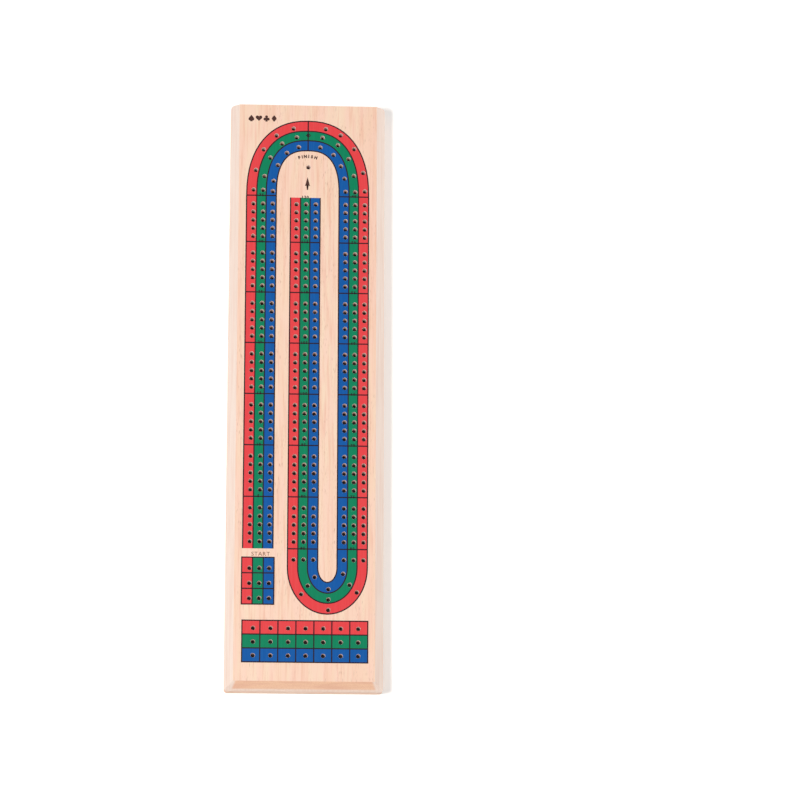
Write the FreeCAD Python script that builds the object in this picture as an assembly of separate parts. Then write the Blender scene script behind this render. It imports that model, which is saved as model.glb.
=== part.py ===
import FreeCAD, Part
import math
import os

# Slim wooden cribbage box, in millimetres.  X runs across the board, Y along it
# towards the drawer end, Z up.  The origin is the middle of the underside.

# ---- overall board -------------------------------------------------------
BOARD_LENGTH = 387.35        # 15 1/4 in along Y
BOARD_WIDTH = 101.6          # 4 in along X
DECK_THICKNESS = 7.5         # drilled playing deck
BAY_HEIGHT = 8.95            # frame rails, and the space between deck and base
BASE_THICKNESS = 2.6         # thin base panel
SIDE_CHAMFER = 5.6           # 45 degree chamfer on the two long top edges
END_CHAMFER = 5.6            # the same on the near end; the drawer end is square
CORNER_RADIUS = 2.0          # eased upright corners of the whole box

# ---- frame under the deck ------------------------------------------------
RAIL_WIDTH = 10.0            # long side rails
NEAR_RAIL_DEPTH = 12.0       # rail across the near end, over the side rails' ends
CROSS_RAIL_DEPTH = 10.0      # rails across the inside
BAY_LENGTH = 150.0           # drawer bay, measured in from the far end

# ---- peg holes -----------------------------------------------------------
PEG_HOLE_DIA = 2.8
PEG_HOLE_RIM = 0.1           # chamfer that eases the hole's rim, so that it opens to 3.0
PEG_HOLE_DEPTH = 6.0         # blind
LANE_PITCH = 6.3             # the three holes of a row, across the board
ROW_PITCH = 5.5              # holes of one group of five, along the board
GROUP_SIZE = 5
GROUP_PITCH = 33.8           # from one group of five to the next
GROUPS_PER_COLUMN = 7
LEFT_COLUMN_X = -29.2
MIDDLE_COLUMN_X = -1.0
RIGHT_COLUMN_X = 31.2
FIRST_GROUP_Y = 126.1        # top hole of the group next to the far turn
SECOND_GROUP_Y = 92.8        # top hole of the next one; the rest follow GROUP_PITCH

FAR_TURN_Y = 131.7           # base line of the long turn at the far end
FAR_TURN_RISES = (34.0, 40.7, 46.9)            # of its inner, middle and outer lane
FAR_TURN_POWER = 2.45        # the turn is squarer than an ellipse (power 2)
# Angles of the five holes on each side, lane by lane in the same order.
FAR_TURN_LEFT_ANGLES = ((7, 23, 45, 63, 78), (7, 24, 45, 63, 78), (6, 26, 46, 62, 77))
FAR_TURN_RIGHT_ANGLES = ((8, 28, 45, 61, 78), (6, 26, 45, 62, 78), (6, 25, 48, 64, 77))

NEAR_TURN_Y = -114.8         # base line of the short turn at the near end
NEAR_TURN_DROP = 20.7
NEAR_TURN_LANE_DROP = 6.7
NEAR_TURN_FIRST_Y = -109.8   # the two straight rows that lead into it
NEAR_TURN_LEFT_ANGLES = (35.0, 42.0, 45.0)     # inner, middle and outer lane
NEAR_TURN_RIGHT_ANGLES = (23.0, 39.0, 41.0)

START_FIRST_Y = -115.5       # three by three starting holes
START_ROW_PITCH = 9.75
START_ROWS = 3
STREET_FIRST_X = -32.8       # seven by three game counting holes
STREET_COLUMN_PITCH = 11.2
STREET_COLUMNS = 7
STREET_FIRST_Y = -154.2
STREET_ROW_PITCH = 8.8
STREET_ROWS = 3
FINISH_X = 0.3               # single finishing hole inside the far turn
FINISH_Y = 151.4

# ---- drawer --------------------------------------------------------------
DRAWER_SIDE_CLEARANCE = 0.3  # to each rail
DRAWER_RUN_CLEARANCE = 0.1   # over the base panel
DRAWER_TOP_CLEARANCE = 0.3   # front and back under the deck
DRAWER_END_CLEARANCE = 0.3   # back to the cross rail when closed
DRAWER_TRAVEL = 110.0
FRONT_THICKNESS = 8.0
BACK_THICKNESS = 5.0
SIDE_THICKNESS = 3.0
BOTTOM_THICKNESS = 1.6
DIVIDER_THICKNESS = 2.0
DIVIDER_HEIGHT = 4.8
DIVIDER_SPACING = 25.5       # between the two divider centres
SCOOP_RADIUS = 7.0           # finger scoop in the drawer front
SCOOP_LENGTH = 34.0
SCOOP_DEPTH = 3.0

# ---- stop strip and magnet catch ----------------------------------------
STRIP_THICKNESS = 1.2        # glued under the deck; the tall drawer back meets it
STRIP_WIDTH = 6.0
STRIP_SIDE_CLEARANCE = 0.4   # over the drawer sides
STOP_CLEARANCE = 0.3
MAGNET_DIA = 5.0
MAGNET_DEPTH = 2.5
STRIKE_DIA = 5.0
STRIKE_DEPTH = 1.0

# ---- base screws ---------------------------------------------------------
SCREWS_PER_RAIL = 4
SCREW_END_DISTANCE = 24.0    # first and last screw from the board's ends
SCREW_SHANK_DIA = 2.2
SCREW_HEAD_DIA = 4.6
SCREW_HEAD_HEIGHT = 1.3
SCREW_LENGTH = 8.5
SCREW_TIP = 1.6
SCREW_SINK = 0.2             # head below the underside
SCREW_SLOT_WIDTH = 0.7
SCREW_SLOT_DEPTH = 0.6
SCREW_CLEARANCE = 0.03

# ---- pegs ----------------------------------------------------------------
PEG_SHANK_DIA = 2.65         # seats in the peg hole
PEG_TIP_DIA = 2.2
PEG_SHANK_LENGTH = 11.0
PEG_GRIP_DIA = 4.6
PEG_GRIP_LENGTH = 15.0
PEG_NECK = 1.2               # taper between grip and shank
PEG_DOME = 1.5               # rounded end of the grip
PEGS_PER_LANE = 3
PEG_SPACING = 6.8
PEG_FRONT_GAP = 8.0          # grip end to the drawer front
PEG_STAGGER = (0.0, -3.5, -1.2)
PEG_LIFT = 0.05              # clear of the drawer bottom

# ---- derived levels and faces -------------------------------------------
HALF_WIDTH = BOARD_WIDTH / 2
FAR_Y = BOARD_LENGTH / 2
NEAR_Y = -BOARD_LENGTH / 2
BAY_FLOOR_Z = BASE_THICKNESS
DECK_UNDER_Z = BAY_FLOOR_Z + BAY_HEIGHT
DECK_TOP_Z = DECK_UNDER_Z + DECK_THICKNESS
RAIL_INNER_X = HALF_WIDTH - RAIL_WIDTH
RAIL_NEAR_Y = NEAR_Y + NEAR_RAIL_DEPTH
BAY_END_Y = FAR_Y - BAY_LENGTH
MID_RAIL_Y = (RAIL_NEAR_Y + BAY_END_Y - CROSS_RAIL_DEPTH) / 2 - CROSS_RAIL_DEPTH / 2

DRAWER_HALF = RAIL_INNER_X - DRAWER_SIDE_CLEARANCE
DRAWER_Z = BAY_FLOOR_Z + DRAWER_RUN_CLEARANCE
TRAY_Z = DRAWER_Z + BOTTOM_THICKNESS
DRAWER_TOP_Z = DECK_UNDER_Z - DRAWER_TOP_CLEARANCE
STRIP_UNDER_Z = DECK_UNDER_Z - STRIP_THICKNESS
SIDE_TOP_Z = STRIP_UNDER_Z - STRIP_SIDE_CLEARANCE
FRONT_INNER_Y = FAR_Y - FRONT_THICKNESS
BACK_REAR_Y = BAY_END_Y + DRAWER_END_CLEARANCE
BACK_INNER_Y = BACK_REAR_Y + BACK_THICKNESS
STRIP_Y = BACK_INNER_Y + DRAWER_TRAVEL + STOP_CLEARANCE
CATCH_Z = (TRAY_Z + SIDE_TOP_Z) / 2

V = FreeCAD.Vector


def block(x0, x1, y0, y1, z0, z1):
    """Box between two corners."""
    return Part.makeBox(x1 - x0, y1 - y0, z1 - z0, V(x0, y0, z0))


def prism(points, direction):
    """Closed outline swept along a direction."""
    outline = [V(*p) for p in points]
    return Part.Face(Part.makePolygon(outline + outline[:1])).extrude(V(*direction))


def turned(profile):
    """Solid of revolution about Z from (radius, height) points that start and end on the axis."""
    outline = [V(r, 0, z) for r, z in profile]
    face = Part.Face(Part.makePolygon(outline + outline[:1]))
    return face.revolve(V(0, 0, 0), V(0, 0, 1), 360)


# ---- peg hole pattern ----------------------------------------------------
def lanes(column_x):
    """X of the three holes of one row."""
    return [column_x + LANE_PITCH * i for i in (-1, 0, 1)]


def group_rows():
    """Y of every row of the straight columns."""
    tops = [FIRST_GROUP_Y]
    tops += [SECOND_GROUP_Y - GROUP_PITCH * i for i in range(GROUPS_PER_COLUMN - 1)]
    return [top - ROW_PITCH * i for top in tops for i in range(GROUP_SIZE)]


def on_turn(half, rise, power, angle):
    """Point of a rounded turn at a polar angle, from the turn's own centre."""
    c, s = math.cos(math.radians(angle)), math.sin(math.radians(angle))
    radius = ((abs(c) / half) ** power + (abs(s) / rise) ** power) ** (-1 / power)
    return radius * c, radius * s


def far_turn_holes():
    """Long turn that joins the left and the right columns."""
    centre = (LEFT_COLUMN_X + RIGHT_COLUMN_X) / 2
    reach = (RIGHT_COLUMN_X - LEFT_COLUMN_X) / 2
    points = []
    for lane in (-1, 0, 1):
        half = reach + lane * LANE_PITCH
        rise = FAR_TURN_RISES[lane + 1]
        for side, angles in ((-1, FAR_TURN_LEFT_ANGLES), (1, FAR_TURN_RIGHT_ANGLES)):
            for angle in angles[lane + 1]:
                x, y = on_turn(half, rise, FAR_TURN_POWER, angle)
                points.append((centre + side * x, FAR_TURN_Y + y))
    return points


def near_turn_holes():
    """Short turn that joins the right and the middle columns."""
    centre = (MIDDLE_COLUMN_X + RIGHT_COLUMN_X) / 2
    reach = (RIGHT_COLUMN_X - MIDDLE_COLUMN_X) / 2
    points = []
    for lane in (-1, 0, 1):
        half = reach + lane * LANE_PITCH
        drop = NEAR_TURN_DROP + lane * NEAR_TURN_LANE_DROP
        points += [(centre - half, NEAR_TURN_FIRST_Y), (centre + half, NEAR_TURN_FIRST_Y)]
        left, right = NEAR_TURN_LEFT_ANGLES[lane + 1], NEAR_TURN_RIGHT_ANGLES[lane + 1]
        for angle in (180 - left, 90, right):
            x, y = on_turn(half, drop, 2, angle)
            points.append((centre + x, NEAR_TURN_Y - y))
    return points


def peg_hole_points():
    """Every peg hole of the board."""
    points = []
    for column in (LEFT_COLUMN_X, MIDDLE_COLUMN_X, RIGHT_COLUMN_X):
        points += [(x, y) for y in group_rows() for x in lanes(column)]
    points += far_turn_holes() + near_turn_holes()
    points += [(x, START_FIRST_Y - START_ROW_PITCH * i)
               for i in range(START_ROWS) for x in lanes(LEFT_COLUMN_X)]
    points += [(STREET_FIRST_X + STREET_COLUMN_PITCH * i, STREET_FIRST_Y - STREET_ROW_PITCH * j)
               for i in range(STREET_COLUMNS) for j in range(STREET_ROWS)]
    points.append((FINISH_X, FINISH_Y))
    return points


# ---- box -----------------------------------------------------------------
def eased(shape, z0, z1):
    """Cut a piece between two levels to the box's outline with its eased corners."""
    outline = block(-HALF_WIDTH, HALF_WIDTH, NEAR_Y, FAR_Y, z0, z1)
    upright = [e for e in outline.Edges if abs(e.Vertexes[0].Z - e.Vertexes[-1].Z) > (z1 - z0) / 2]
    return shape.common(outline.makeFillet(CORNER_RADIUS, upright)).Solids[0]


def make_deck():
    """Drilled top with mitred chamfers on the long edges and the near end."""
    low, top = DECK_UNDER_Z, DECK_TOP_Z
    across = prism([(-HALF_WIDTH, NEAR_Y, low), (HALF_WIDTH, NEAR_Y, low),
                    (HALF_WIDTH, NEAR_Y, top - SIDE_CHAMFER),
                    (HALF_WIDTH - SIDE_CHAMFER, NEAR_Y, top),
                    (-HALF_WIDTH + SIDE_CHAMFER, NEAR_Y, top),
                    (-HALF_WIDTH, NEAR_Y, top - SIDE_CHAMFER)], (0, BOARD_LENGTH, 0))
    along = prism([(-HALF_WIDTH, NEAR_Y, low), (-HALF_WIDTH, FAR_Y, low),
                   (-HALF_WIDTH, FAR_Y, top), (-HALF_WIDTH, NEAR_Y + END_CHAMFER, top),
                   (-HALF_WIDTH, NEAR_Y, top - END_CHAMFER)], (BOARD_WIDTH, 0, 0))
    radius, rim = PEG_HOLE_DIA / 2, PEG_HOLE_DIA / 2 + PEG_HOLE_RIM
    bore = turned([(0, top - PEG_HOLE_DEPTH), (radius, top - PEG_HOLE_DEPTH),
                   (radius, top - PEG_HOLE_RIM), (rim, top), (rim, top + 1), (0, top + 1)])
    holes = [bore.translated(V(x, y, 0)) for x, y in peg_hole_points()]
    return eased(across.common(along).cut(Part.makeCompound(holes)), low, top)


def screw_points():
    """Base screws along the middle of each side rail."""
    span = BOARD_LENGTH - 2 * SCREW_END_DISTANCE
    rows = [NEAR_Y + SCREW_END_DISTANCE + span * i / (SCREWS_PER_RAIL - 1)
            for i in range(SCREWS_PER_RAIL)]
    x = HALF_WIDTH - RAIL_WIDTH / 2
    return [(side * x, y) for side in (-1, 1) for y in rows]


def screw_profile(clearance):
    """Countersunk screw outline, head down, point up, as (radius, height)."""
    head, shank = SCREW_HEAD_DIA / 2 + clearance, SCREW_SHANK_DIA / 2 + clearance
    neck = SCREW_SINK + SCREW_HEAD_HEIGHT
    end = SCREW_SINK + SCREW_LENGTH + clearance
    low = SCREW_SINK if clearance == 0 else -1.0
    return [(0, low), (head, low), (head, SCREW_SINK), (shank, neck),
            (shank, end - SCREW_TIP), (0.2 + clearance, end), (0, end)]


def make_screw(x, y):
    """Slotted countersunk wood screw."""
    body = turned(screw_profile(0))
    slot = block(-SCREW_HEAD_DIA, SCREW_HEAD_DIA, -SCREW_SLOT_WIDTH / 2, SCREW_SLOT_WIDTH / 2,
                 0, SCREW_SINK + SCREW_SLOT_DEPTH)
    return body.cut(slot).translated(V(x, y, 0))


def drill_for_screws(shape):
    """Cut the screw holes that pass through a piece."""
    holes = [turned(screw_profile(SCREW_CLEARANCE)).translated(V(x, y, 0))
             for x, y in screw_points()]
    return shape.cut(Part.makeCompound(holes)).Solids[0]


def make_side_rail(side):
    """Long rail under one side of the deck."""
    x0, x1 = sorted((side * RAIL_INNER_X, side * HALF_WIDTH))
    rail = drill_for_screws(block(x0, x1, RAIL_NEAR_Y, FAR_Y, BAY_FLOOR_Z, DECK_UNDER_Z))
    return eased(rail, BAY_FLOOR_Z, DECK_UNDER_Z)


def make_near_rail():
    """Rail across the near end, over the ends of the side rails."""
    rail = block(-HALF_WIDTH, HALF_WIDTH, NEAR_Y, RAIL_NEAR_Y, BAY_FLOOR_Z, DECK_UNDER_Z)
    return eased(rail, BAY_FLOOR_Z, DECK_UNDER_Z)


def make_cross_rail(y0):
    """Rail across the inside of the frame."""
    return block(-RAIL_INNER_X, RAIL_INNER_X, y0, y0 + CROSS_RAIL_DEPTH,
                 BAY_FLOOR_Z, DECK_UNDER_Z)


def plug(y, depth, dia):
    """Disc on the box's centre line, flush with a face at y and running towards +Y."""
    return Part.makeCylinder(dia / 2, depth, V(0, y, CATCH_Z), V(0, 1, 0))


def make_magnet():
    """Catch magnet, flush in the far face of the bay rail."""
    return plug(BAY_END_Y - MAGNET_DEPTH, MAGNET_DEPTH, MAGNET_DIA)


def make_strike():
    """Steel disc, flush in the rear of the drawer back."""
    return plug(BACK_REAR_Y, STRIKE_DEPTH, STRIKE_DIA)


def make_bay_rail():
    """Rail that closes the drawer bay and holds the magnet."""
    return make_cross_rail(BAY_END_Y - CROSS_RAIL_DEPTH).cut(make_magnet()).Solids[0]


def make_base():
    """Thin panel under the whole box."""
    panel = drill_for_screws(block(-HALF_WIDTH, HALF_WIDTH, NEAR_Y, FAR_Y, 0, BAY_FLOOR_Z))
    return eased(panel, 0, BAY_FLOOR_Z)


def make_stop_strip():
    """Strip under the deck that the drawer back meets at full travel."""
    return block(-RAIL_INNER_X, RAIL_INNER_X, STRIP_Y, STRIP_Y + STRIP_WIDTH,
                 STRIP_UNDER_Z, DECK_UNDER_Z)


# ---- drawer --------------------------------------------------------------
def make_drawer_front():
    """Front that fills the far end of the bay, with a finger scoop in its face."""
    front = block(-DRAWER_HALF, DRAWER_HALF, FRONT_INNER_Y, FAR_Y, DRAWER_Z, DRAWER_TOP_Z)
    centre_y = FAR_Y + SCOOP_RADIUS - SCOOP_DEPTH
    middle_z = (DRAWER_Z + DRAWER_TOP_Z) / 2
    scoop = Part.makeCylinder(SCOOP_RADIUS, SCOOP_LENGTH,
                              V(-SCOOP_LENGTH / 2, centre_y, middle_z), V(1, 0, 0))
    lip = (DRAWER_TOP_Z - DRAWER_Z) / 2 - 1.0
    window = block(-SCOOP_LENGTH, SCOOP_LENGTH, FRONT_INNER_Y, FAR_Y + 1,
                   middle_z - lip, middle_z + lip)
    return front.cut(scoop.common(window)).Solids[0]


def make_drawer_side(side):
    """Drawer side, standing on the bottom."""
    x0, x1 = sorted((side * (DRAWER_HALF - SIDE_THICKNESS), side * DRAWER_HALF))
    return block(x0, x1, BACK_REAR_Y, FRONT_INNER_Y, TRAY_Z, SIDE_TOP_Z)


def make_drawer_back():
    """Tall back between the sides, with the steel disc let in."""
    half = DRAWER_HALF - SIDE_THICKNESS
    back = block(-half, half, BACK_REAR_Y, BACK_INNER_Y, TRAY_Z, DRAWER_TOP_Z)
    return back.cut(make_strike()).Solids[0]


def make_drawer_bottom():
    """Thin drawer bottom behind the front."""
    return block(-DRAWER_HALF, DRAWER_HALF, BACK_REAR_Y, FRONT_INNER_Y, DRAWER_Z, TRAY_Z)


def make_divider(side):
    """Long divider between two peg lanes."""
    x = side * DIVIDER_SPACING / 2
    return block(x - DIVIDER_THICKNESS / 2, x + DIVIDER_THICKNESS / 2,
                 BACK_INNER_Y, FRONT_INNER_Y, TRAY_Z, TRAY_Z + DIVIDER_HEIGHT)


# ---- pegs ----------------------------------------------------------------
def make_peg(x, y):
    """Scoring peg lying on the drawer bottom, grip end at y, point towards -Y."""
    grip, shank, tip = PEG_GRIP_DIA / 2, PEG_SHANK_DIA / 2, PEG_TIP_DIA / 2
    length = PEG_GRIP_LENGTH + PEG_NECK + PEG_SHANK_LENGTH
    profile = [(0, 0), (grip * 0.62, PEG_DOME * 0.22), (grip, PEG_DOME),
               (grip, PEG_GRIP_LENGTH), (shank, PEG_GRIP_LENGTH + PEG_NECK),
               (tip, length - 0.6), (tip - 0.5, length), (0, length)]
    peg = turned(profile)
    peg.rotate(V(0, 0, 0), V(1, 0, 0), 90)
    lift = TRAY_Z + PEG_LIFT + grip
    return peg.translated(V(x, y, lift))


def lane_centre(index):
    """Middle of one of the drawer's three peg lanes."""
    outer = (DRAWER_HALF - SIDE_THICKNESS + DIVIDER_SPACING / 2 + DIVIDER_THICKNESS / 2) / 2
    return (-outer, 0.0, outer)[index]


def pegs():
    """Three pegs of each colour, one colour to a lane."""
    found = {}
    for lane, colour in enumerate(("red", "green", "blue")):
        for i in range(PEGS_PER_LANE):
            x = lane_centre(lane) + PEG_SPACING * (i - (PEGS_PER_LANE - 1) / 2)
            y = FRONT_INNER_Y - PEG_FRONT_GAP + PEG_STAGGER[(i + lane) % len(PEG_STAGGER)]
            found["peg_%s_%d" % (colour, i + 1)] = make_peg(x, y)
    return found


# ---- all nodes -----------------------------------------------------------
def all_nodes():
    """Every piece by its node name."""
    nodes = {
        "deck": make_deck(),
        "left_rail": make_side_rail(-1),
        "right_rail": make_side_rail(1),
        "near_rail": make_near_rail(),
        "middle_rail": make_cross_rail(MID_RAIL_Y),
        "bay_rail": make_bay_rail(),
        "base_panel": make_base(),
        "stop_strip": make_stop_strip(),
        "catch_magnet": make_magnet(),
        "drawer_front": make_drawer_front(),
        "drawer_left_side": make_drawer_side(-1),
        "drawer_right_side": make_drawer_side(1),
        "drawer_back": make_drawer_back(),
        "drawer_bottom": make_drawer_bottom(),
        "drawer_divider_left": make_divider(-1),
        "drawer_divider_right": make_divider(1),
        "strike_disc": make_strike(),
    }
    for i, (x, y) in enumerate(screw_points()):
        nodes["base_screw_%d" % (i + 1)] = make_screw(x, y)
    nodes.update(pegs())
    return nodes


os.makedirs("parts", exist_ok=True)
for name, shape in all_nodes().items():
    if not shape.isValid() or len(shape.Solids) != 1:
        raise ValueError("%s is not one valid solid" % name)
    shape.exportStep("parts/%s.step" % name)
    box = shape.BoundBox
    print("%-20s %8.2f cm3  x %.2f..%.2f  y %.2f..%.2f  z %.2f..%.2f" % (
        name, shape.Volume / 1000, box.XMin, box.XMax, box.YMin, box.YMax, box.ZMin, box.ZMax))
print("peg holes:", len(peg_hole_points()))
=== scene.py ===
"""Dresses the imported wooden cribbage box: woods, printed track, screws, catch, pegs and a plain studio.

Units are metres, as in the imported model.  Sizes of the print are given in millimetres and turned to
metres by MM.  X runs across the board, Y along it towards the drawer end, Z up.
"""
import logging
import math
from dataclasses import dataclass
from enum import Enum
from typing import Callable

import bmesh
import bpy
from bmesh.types import BMesh, BMFace
from bpy.types import Material, Node, NodeSocket, NodeTree, Object
from mathutils import Matrix, Vector


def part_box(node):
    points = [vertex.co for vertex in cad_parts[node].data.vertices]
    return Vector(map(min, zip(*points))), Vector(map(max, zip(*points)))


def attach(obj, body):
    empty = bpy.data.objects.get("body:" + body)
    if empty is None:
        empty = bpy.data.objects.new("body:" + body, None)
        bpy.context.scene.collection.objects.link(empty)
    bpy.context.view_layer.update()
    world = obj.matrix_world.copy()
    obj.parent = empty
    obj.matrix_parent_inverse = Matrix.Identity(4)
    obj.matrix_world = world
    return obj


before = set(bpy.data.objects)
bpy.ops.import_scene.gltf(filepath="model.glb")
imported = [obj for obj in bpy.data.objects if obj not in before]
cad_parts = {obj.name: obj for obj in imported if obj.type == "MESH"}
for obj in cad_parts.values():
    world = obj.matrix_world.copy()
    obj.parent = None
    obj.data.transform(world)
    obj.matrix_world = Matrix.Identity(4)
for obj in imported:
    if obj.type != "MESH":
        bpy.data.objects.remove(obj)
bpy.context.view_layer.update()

MM = 0.001
DECK_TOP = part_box("deck")[1][2]
BOARD_HALF_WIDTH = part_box("deck")[1][0]
NEAR_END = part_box("deck")[0][1]

Point = tuple[float, float]
log = logging.getLogger("cribbage_box")


# ---- node and colour helpers ----
def linear(hexcode: str) -> tuple[float, float, float, float]:
    """Turn an sRGB hex colour to linear RGBA.

    Args:
        hexcode: six hex digits, such as "F8D7BE".

    Returns:
        Red, green, blue and an alpha of 1, in linear light.
    """
    parts = [int(hexcode[i:i + 2], 16) / 255 for i in (0, 2, 4)]
    bent = [c / 12.92 if c <= 0.04045 else ((c + 0.055) / 1.055) ** 2.4 for c in parts]
    return (*bent, 1.0)


def wire(tree: NodeTree, node: Node, inputs: dict | tuple) -> None:
    """Give a node's inputs their constants and links.

    Args:
        tree: the node's tree.
        node: the node.
        inputs: constants and other nodes' outputs, in the sockets' order or by socket name or number.
    """
    for key, value in inputs.items() if isinstance(inputs, dict) else enumerate(inputs):
        if isinstance(value, NodeSocket):
            tree.links.new(value, node.inputs[key])
        else:
            node.inputs[key].default_value = value


def add(tree: NodeTree, kind: str, inputs: dict | tuple = (), out: int | str = 0, **settings) -> NodeSocket:
    """Add a node with its settings, its constants and its links.

    Args:
        tree: the node tree that gets the node.
        kind: the node's type, without its ShaderNode prefix.
        inputs: its constants and links, as for wire.
        out: name or number of the output to return.
        settings: properties of the node itself.

    Returns:
        That output, whose .node is the node.
    """
    node = tree.nodes.new("ShaderNode" + kind)
    for name, value in settings.items():
        setattr(node, name, value)
    wire(tree, node, inputs)
    return node.outputs[out]


def noise(tree: NodeTree, place: NodeSocket, size: tuple, detail: float, offset: float) -> NodeSocket:
    """Soft noise about 0.5, in blobs of this size in millimetres; the offset sets patterns apart."""
    scaled = add(tree, "Mapping", {0: place, 1: (offset, offset, offset), 3: [1 / s for s in size]})
    return add(tree, "TexNoise", {"Vector": scaled, "Scale": 1.0, "Detail": detail})


def new_material(name: str) -> tuple[Material, NodeTree, Node]:
    """Start a material.

    Args:
        name: the finish's name.

    Returns:
        The material, its node tree and its principled shader.
    """
    material = bpy.data.materials.new(name)
    material.use_nodes = True
    tree = material.node_tree
    return material, tree, tree.nodes["Principled BSDF"]


def millimetres(tree: NodeTree, turn: float = 0.0, shift: float = 0.0) -> NodeSocket:
    """Object coordinates in millimetres, turned about Z and shifted, so that two boards differ."""
    source = add(tree, "TexCoord", out="Object")
    return add(tree, "Mapping", (source, (shift,) * 3, (0, 0, turn), (1 / MM,) * 3))


def one_axis(tree: NodeTree, axis: str, source: str = "Object", absolute: bool = False) -> NodeSocket:
    """One axis of the object coordinates, in metres, or of the normal, with or without its sign."""
    value = add(tree, "SeparateXYZ", (add(tree, "TexCoord", out=source),), axis)
    return add(tree, "Math", (value,), operation="ABSOLUTE") if absolute else value


def fibre_relief(tree: NodeTree, place: NodeSocket, strength: float) -> NodeSocket:
    """Fine relief of planed fibres, which still tells under lacquer and ink."""
    fibres = noise(tree, place, (0.4, 9.0, 0.8), 3.0, 31.0)
    return add(tree, "Bump", {"Strength": strength, "Distance": 0.05 * MM, "Height": fibres})


# ---- finishes ----
@dataclass(frozen=True)
class Figure:
    """A tone that shows in soft patches of a size in millimetres: from the first level of the noise on,
    and with its full strength from the second."""

    tone: str
    size: tuple
    detail: float
    offset: float
    first: float
    second: float
    strength: float = 1.0

    def share(self, tree: NodeTree, place: NodeSocket) -> NodeSocket:
        """How much of the tone shows at a place, from 0 to its strength."""
        patches = noise(tree, place, self.size, self.detail, self.offset)
        return add(tree, "MapRange", (patches, self.first, self.second, 0.0, self.strength))

    def over(self, tree: NodeTree, place: NodeSocket, ground: NodeSocket | tuple) -> NodeSocket:
        """Lay the tone over the ground's colour."""
        mixed = {0: self.share(tree, place), 6: ground, 7: linear(self.tone)}
        return add(tree, "Mix", mixed, 2, data_type="RGBA")


class Grain(Enum):
    """Which way the fibres of a board run."""

    ALONG = 0.0
    ACROSS = math.pi / 2


@dataclass(frozen=True)
class Rubberwood:
    """Rubberwood board, planed, sanded and sealed with a thin matt lacquer.

    The eye gets a pale pinkish cream with soft broad bands, fine streaks along the fibres, short darker
    pores, and a browner, speckled tone wherever the fibres are cut across.
    """

    name: str
    grain: Grain = Grain.ALONG
    shift: float = 0.0
    pale: str = "F9DABF"
    warm: Figure = Figure("F8CEB4", (9.0, 150.0, 12.0), 2.5, 0.0, 0.36, 0.66)
    rosy: Figure = Figure("FBD2BF", (4.5, 26.0, 6.0), 2.0, 41.0, 0.42, 0.62, 0.6)
    streaks: Figure = Figure("EDB498", (1.4, 28.0, 4.0), 3.0, 7.0, 0.48, 0.74, 0.65)
    pores: Figure = Figure("B98A6E", (0.5, 4.2, 1.6), 1.0, 19.0, 0.6, 0.74, 0.6)
    pore_clusters: Figure = Figure("B98A6E", (6.0, 34.0, 8.0), 1.0, 13.0, 0.42, 0.66)
    cut: str = "FBCBA9"
    rings: Figure = Figure("EDB498", (26.0, 9.0, 1.7), 1.5, 5.0, 0.42, 0.6, 0.6)
    speckles: Figure = Figure("E8AE8A", (0.55, 0.8, 0.55), 2.0, 3.0, 0.42, 0.72, 0.55)
    cut_facing: tuple = (0.5, 0.62)
    roughness: float = 0.5
    relief: float = 0.35

    def make(self) -> Material:
        """Build the material.

        Returns:
            The material.
        """
        material, tree, shader = new_material(self.name)
        place = millimetres(tree, self.grain.value, self.shift)
        wire(tree, shader, {"Base Color": self.colour(tree, place), "Roughness": self.roughness,
                            "Normal": fibre_relief(tree, place, self.relief)})
        return material

    def colour(self, tree: NodeTree, place: NodeSocket) -> NodeSocket:
        """Colour all over the board, at places whose fibres run along Y."""
        faces = {0: self.cut_share(tree), 6: self.long_grain(tree, place), 7: self.cut_grain(tree, place)}
        return add(tree, "Mix", faces, 2, data_type="RGBA")

    def long_grain(self, tree: NodeTree, place: NodeSocket) -> NodeSocket:
        """Colour of a face that runs with the fibres.

        Args:
            tree: the node tree.
            place: coordinates in millimetres, fibres along Y.

        Returns:
            The colour's output.
        """
        colour = linear(self.pale)
        for figure in (self.warm, self.rosy, self.streaks):
            colour = figure.over(tree, place, colour)
        pores = self.pores.share(tree, place)
        pores = add(tree, "Math", (pores, self.pore_clusters.share(tree, place)), operation="MULTIPLY")
        return add(tree, "Mix", {0: pores, 6: colour, 7: linear(self.pores.tone)}, 2, data_type="RGBA")

    def cut_share(self, tree: NodeTree) -> NodeSocket:
        """Where a face cuts the fibres: 1 on the ends of the board, 0 on its long faces."""
        facing = one_axis(tree, "Y" if self.grain is Grain.ALONG else "X", "Normal", absolute=True)
        return add(tree, "MapRange", (facing, *self.cut_facing))

    def cut_grain(self, tree: NodeTree, place: NodeSocket) -> NodeSocket:
        """Colour of a face that cuts the fibres."""
        return self.speckles.over(tree, place, self.rings.over(tree, place, linear(self.cut)))


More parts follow.
